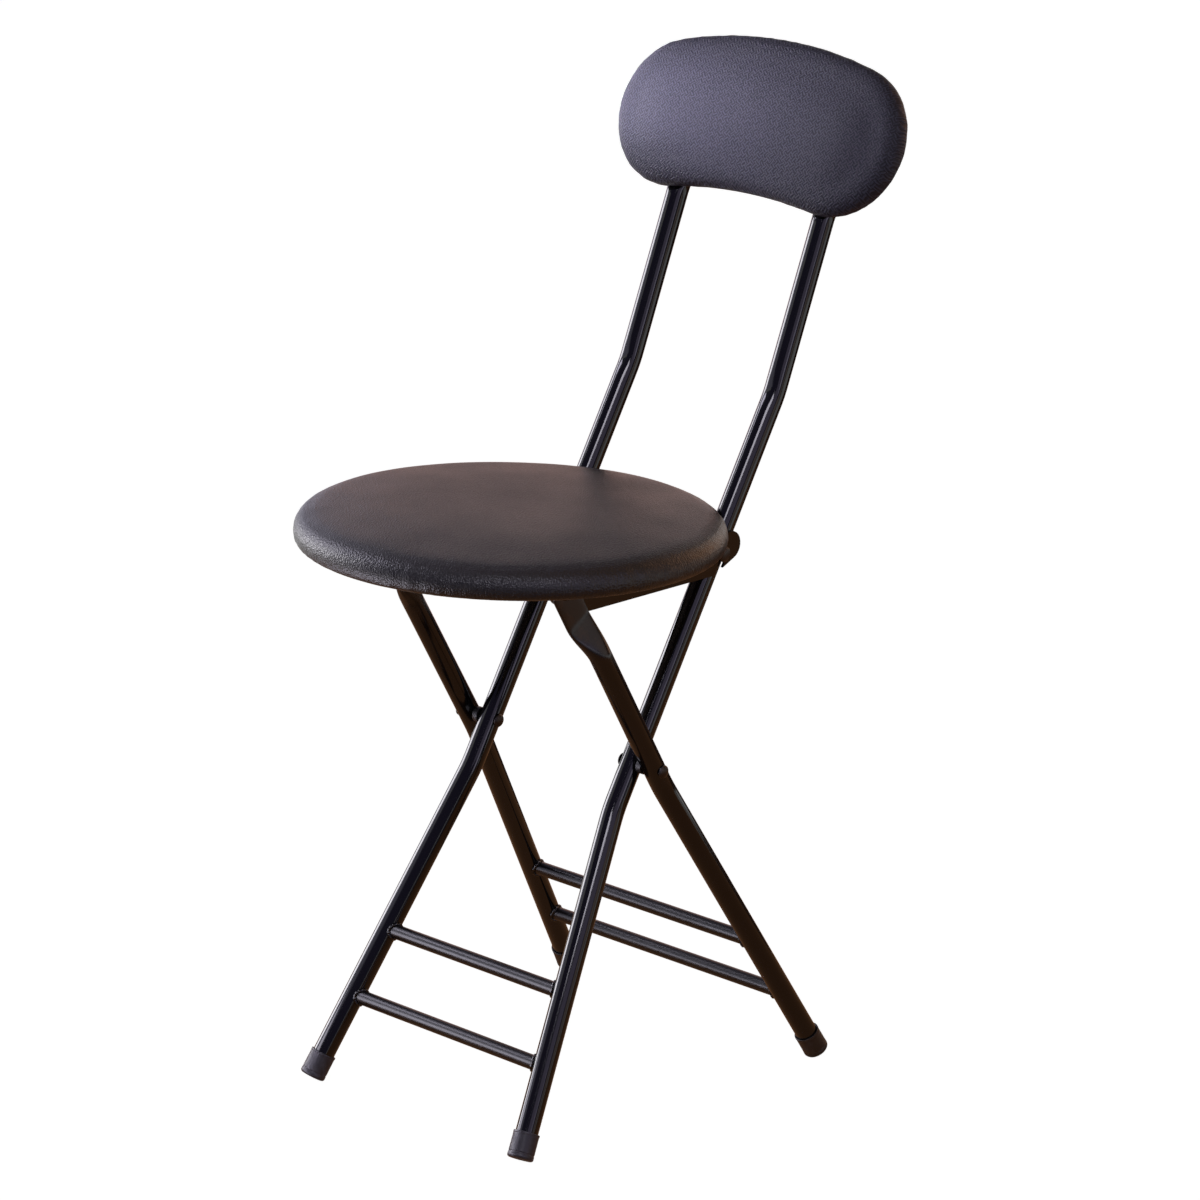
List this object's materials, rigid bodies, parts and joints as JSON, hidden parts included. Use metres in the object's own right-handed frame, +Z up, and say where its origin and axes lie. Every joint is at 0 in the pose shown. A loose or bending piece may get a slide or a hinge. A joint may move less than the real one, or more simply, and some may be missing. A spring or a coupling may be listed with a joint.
{
  "type": "folding stool",
  "caption": "Folding stool with a round padded seat, a bean-shaped padded backrest and crossed black tube legs",
  "frame": {"origin": "middle of the bounding box on the floor", "axes": "+Z up; +X to the sitter's left; the sitter faces -Y"},
  "size_m": [0.32, 0.4606, 0.7673],
  "materials": {
    "frame_paint": "gloss black paint on steel tube and sheet",
    "seat_covering": "dark grained leathercloth over foam",
    "plywood": "plain plywood, hidden by the padding",
    "foot_rubber": "matt black moulded",
    "plated_steel": "dark plated",
    "nylon": "black moulded"
  },
  "bodies": {
    "main_frame": {"back_tube_left": "frame_paint", "back_tube_right": "frame_paint", "backrest_board": "plywood", "backrest_bolt_left_lower": "plated_steel", "backrest_bolt_left_upper": "plated_steel", "backrest_bolt_right_lower": "plated_steel", "backrest_bolt_right_upper": "plated_steel", "backrest_pad": "seat_covering", "cross_rivet_left": "plated_steel", "cross_rivet_right": "plated_steel", "cross_spacer_left": "nylon", "cross_spacer_right": "nylon", "front_bar_lower": "frame_paint", "front_bar_upper": "frame_paint", "front_foot_left": "foot_rubber", "front_foot_right": "foot_rubber", "hook_stud_left": "plated_steel", "hook_stud_right": "plated_steel"},
    "rear_legs": {"pivot_washer_left": "nylon", "pivot_washer_right": "nylon", "rear_bar_lower": "frame_paint", "rear_bar_upper": "frame_paint", "rear_foot_left": "foot_rubber", "rear_foot_right": "foot_rubber", "rear_leg_left": "frame_paint", "rear_leg_right": "frame_paint", "seat_pivot_left": "plated_steel", "seat_pivot_right": "plated_steel"},
    "seat": {"rail_screw_left_front": "plated_steel", "rail_screw_left_middle": "plated_steel", "rail_screw_left_rear": "plated_steel", "rail_screw_right_front": "plated_steel", "rail_screw_right_middle": "plated_steel", "rail_screw_right_rear": "plated_steel", "seat_board": "plywood", "seat_pad": "seat_covering", "seat_rail_left": "frame_paint", "seat_rail_right": "frame_paint"}
  },
  "joints": [
    {"name": "leg_fold", "type": "hinge", "parent": "main_frame", "child": "rear_legs", "pos_m": [0, -0.01397, 0.2632], "axis": [-1, 0, 0], "range_deg": [0, 56]},
    {"name": "seat_hinge", "type": "hinge", "parent": "rear_legs", "child": "seat", "pos_m": [0, -0.10722, 0.41717], "axis": [1, 0, 0], "range_deg": [0, 112]}
  ],
  "couplings": [
    {"joint": "seat_hinge", "follows": "leg_fold", "ratio": 2}
  ]
}
